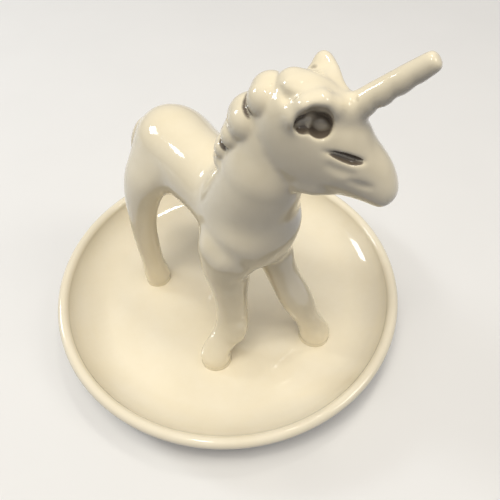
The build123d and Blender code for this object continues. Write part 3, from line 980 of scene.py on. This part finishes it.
def glaze(name, cream, pale, painted_shade_colour, bare_foot):
    """A cream glaze with painted shade in its hollows. With bare_foot, what touches the table is unglazed
    clay.
    """
    material, shader, mm = new_material(name)
    drift = mm.noise(DRIFT_SCALE, detail=3.0)
    clouds = mm.noise(CLOUD_SCALE, detail=2.0)
    tone = ((drift - 0.5) * DRIFT_SHARE + (clouds - 0.5) * CLOUD_SHARE + 0.5).kept()
    colour = tone.blend(cream, pale)
    painted_shade = mm.node("ShaderNodeAttribute", {"attribute_name": "painted_shade"}, {}, out="Fac")
    edge = mm.node("ShaderNodeAttribute", {"attribute_name": "edge"}, {}, out="Fac")
    # painted shade: the colour darkens towards the third colour where the clay around is close
    colour = ((painted_shade - PAINTED_SHADE_FROM) / PAINTED_SHADE_WIDTH).kept().blend(colour, painted_shade_colour)
    colour = (edge * EDGE_SHARE).kept().blend(colour, pale)
    scatter = {"Vector": mm, "Scale": SPECK_SCALE, "Randomness": 1.0}
    cells = mm.node("ShaderNodeTexVoronoi", {}, scatter, out="Distance")
    lots = mm.node("ShaderNodeTexVoronoi", {}, scatter, out="Color")
    lot = lots.node("ShaderNodeSeparateColor", {}, {0: lots}, out="Red")
    speck = (1 - cells / SPECK_RADIUS).kept() * lot.over(SPECK_RARITY)
    colour = (speck * SPECK_SHARE).blend(colour, SPECK_BROWN)
    roughness = GLOSS + (clouds - 0.5) * GLOSS_CLOUDS + painted_shade * GLOSS_HOLLOWS
    if bare_foot:
        height = mm.node("ShaderNodeSeparateXYZ", {}, {0: mm}, out="Z")
        bare = (BARE_TOP - height * BARE_FADE).kept()
        clay = mm.noise(CLAY_GRAIN_SCALE, detail=4.0).kept().blend(*BARE_CLAYS)
        colour = bare.blend(colour, clay)
        roughness = roughness + bare * BARE_ROUGHNESS
    ripple = mm.noise(RIPPLE_SCALE, detail=2.0)
    waves = {"Strength": RIPPLE_STRENGTH, "Distance": RIPPLE_HEIGHT * MM, "Height": ripple}
    colour.into(shader, "Base Color")
    roughness.into(shader, "Roughness")
    mm.node("ShaderNodeBump", {}, waves).into(shader, "Normal")
    shader.inputs["Coat Weight"].default_value = 0.6
    shader.inputs["Coat Roughness"].default_value = 0.03
    shader.inputs["IOR"].default_value = 1.5
    return material


figure_glaze = glaze("cream_glaze_figure", *FIGURE_COLOURS, bare_foot=False)
dish_glaze = glaze("cream_glaze_dish", *DISH_COLOURS, bare_foot=True)
print("finishes:", figure_glaze.name, "and", dish_glaze.name)

# %% [markdown]
# ## Turning the dish and glazing the figure
# The wheel's inputs are set by their identifiers before the tree is first run. The result becomes a plain
# mesh, and the profile curve goes. Then every piece is hung on the root and takes its glaze, and the CAD
# node that it stands in for is hidden.

# %% Make the pieces real
WHEEL_SEGMENTS = 200

turning = bpy.data.objects.new("dish_turning", dish_profile)
bpy.context.scene.collection.objects.link(turning)
modifier = turning.modifiers.new("wheel", "NODES")
modifier.node_group = wheel
modifier[wheel_inputs["Segments"]] = WHEEL_SEGMENTS
modifier[wheel_inputs["Glaze"]] = dish_glaze
evaluated = turning.evaluated_get(bpy.context.evaluated_depsgraph_get())
dish_mesh = bpy.data.meshes.new_from_object(evaluated)
bpy.data.objects.remove(turning)
surface = bmesh.new()
surface.from_mesh(dish_mesh)
bmesh.ops.recalc_face_normals(surface, faces=surface.faces)
surface.to_mesh(dish_mesh)
open_edges = sum(not edge.is_manifold for edge in surface.edges)
surface.free()
dish = bpy.data.objects.new("dish_glazed", dish_mesh)
bpy.context.scene.collection.objects.link(dish)
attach(dish, "root")
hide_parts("dish")
for name, piece in figure.items():
    piece.data.materials.append(figure_glaze)
    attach(piece, "root")
    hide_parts(name)
print("dish of", len(dish_mesh.polygons), "faces with", open_edges, "open edges")

# %% [markdown]
# ## Floor, light and camera
# The object stands on a plain pale floor. To light that bounces the floor is dark, as the table in the
# photograph is, so that it doesn't light the belly from below. A large soft panel hangs high above and is
# kept out of the reflections. A weaker one fills from the front, a small cool one lights the edges from
# behind, and two small spots give the sharp highlights of a gloss. The sky is dim and cool where it lights
# the object, but brighter and warm where it is mirrored. The camera looks down at about fifty degrees.

# %% Floor
FLOOR_SIZE = 3.0
TABLE_GRAIN_SCALE = 0.02
TABLE_TINTS = ((0.80, 0.80, 0.80, 1), (0.84, 0.84, 0.84, 1))
TABLE_DARK = (0.12, 0.12, 0.13, 1)
TABLE_ROUGHNESS = 0.8

floor_mesh = bpy.data.meshes.new("table")
half = FLOOR_SIZE / 2
floor_corners = [(-half, -half, 0), (half, -half, 0), (half, half, 0), (-half, half, 0)]
floor_mesh.from_pydata(floor_corners, [], [(0, 1, 2, 3)])
table = bpy.data.objects.new("table", floor_mesh)
bpy.context.scene.collection.objects.link(table)
table_paint, table_shader, table_mm = new_material("pale_table")
tint = table_mm.noise(TABLE_GRAIN_SCALE, detail=3.0).kept().blend(*TABLE_TINTS)
table_mm.seen().blend(TABLE_DARK, tint).into(table_shader, "Base Color")
table_shader.inputs["Roughness"].default_value = TABLE_ROUGHNESS
floor_mesh.materials.append(table_paint)
print("table", FLOOR_SIZE, "m wide")


# %% Lamps
LAMP_AIM = (0, 0, 45)
LAMPS = (
    ("panel_above", (-300, -160, 1480), 950, 17.2, (1.0, 0.94, 0.82)),
    ("panel_front", (630, -720, 1100), 400, 2.8, (1.0, 0.95, 0.84)),
    ("panel_behind", (-260, 420, 330), 110, 0.6, (0.92, 0.97, 1.0)),
    ("spot_left", (-120, -40, 480), 45, 0.2, (1.0, 0.95, 0.84)),
    ("spot_right", (120, 30, 480), 45, 0.2, (1.0, 0.95, 0.84)),
)


def soft_panel(name, place, size, power, colour):
    """A square lamp at a place in millimetres, turned towards the figure, with its power in watts."""
    lamp = bpy.data.lights.new(name, "AREA")
    lamp.size = size * MM
    lamp.energy = power
    lamp.color = colour
    holder = bpy.data.objects.new(name, lamp)
    holder.location = Vector(place) * MM
    holder.rotation_euler = (Vector(LAMP_AIM) - Vector(place)).to_track_quat("-Z", "Y").to_euler()
    bpy.context.scene.collection.objects.link(holder)
    return holder


lamps = {row[0]: soft_panel(*row) for row in LAMPS}
lamps["panel_above"].visible_glossy = False
print("lamps:", ", ".join(lamps))

# %% Sky
SKY_LIGHT = 0.14
SKY_SEEN = 0.5
SKY_COOL = (0.62, 0.70, 1.0, 1)
SKY_WARM = (1.0, 0.96, 0.91, 1)

sky = bpy.data.worlds.new("sky")
sky.use_nodes = True
backdrop = sky.node_tree.nodes["Background"]
looked_at = Wire(backdrop.outputs[0]).seen()
(looked_at * (SKY_SEEN - SKY_LIGHT) + SKY_LIGHT).into(backdrop, "Strength")
looked_at.blend(SKY_COOL, SKY_WARM).into(backdrop, "Color")
bpy.context.scene.world = sky
bpy.context.scene.view_settings.view_transform = "Standard"
print("a sky of strength", SKY_LIGHT, "as light and", SKY_SEEN, "where it is seen")

# %% Camera
CAMERA_PLACE = (-53.3, -80.7, 147.2)
CAMERA_ELEVATION = 51.15
CAMERA_AZIMUTH = -37.58
CAMERA_ROLL = 0.14
SENSOR = 36.0

lens = bpy.data.cameras.new("camera")
lens.sensor_width = SENSOR
lens.lens = SENSOR
lens.clip_start = MM
camera = bpy.data.objects.new("camera", lens)
turn = Matrix.Rotation(math.radians(CAMERA_AZIMUTH), 4, "Z")
tilt = Matrix.Rotation(math.radians(90 - CAMERA_ELEVATION), 4, "X")
roll = Matrix.Rotation(math.radians(CAMERA_ROLL), 4, "Z")
camera.matrix_world = Matrix.Translation(Vector(CAMERA_PLACE) * MM) @ turn @ tilt @ roll
bpy.context.scene.collection.objects.link(camera)
bpy.context.scene.camera = camera
print("camera", round(math.dist(CAMERA_PLACE, (0, 0, 0))), "mm from the dish's middle")

# %% [markdown]
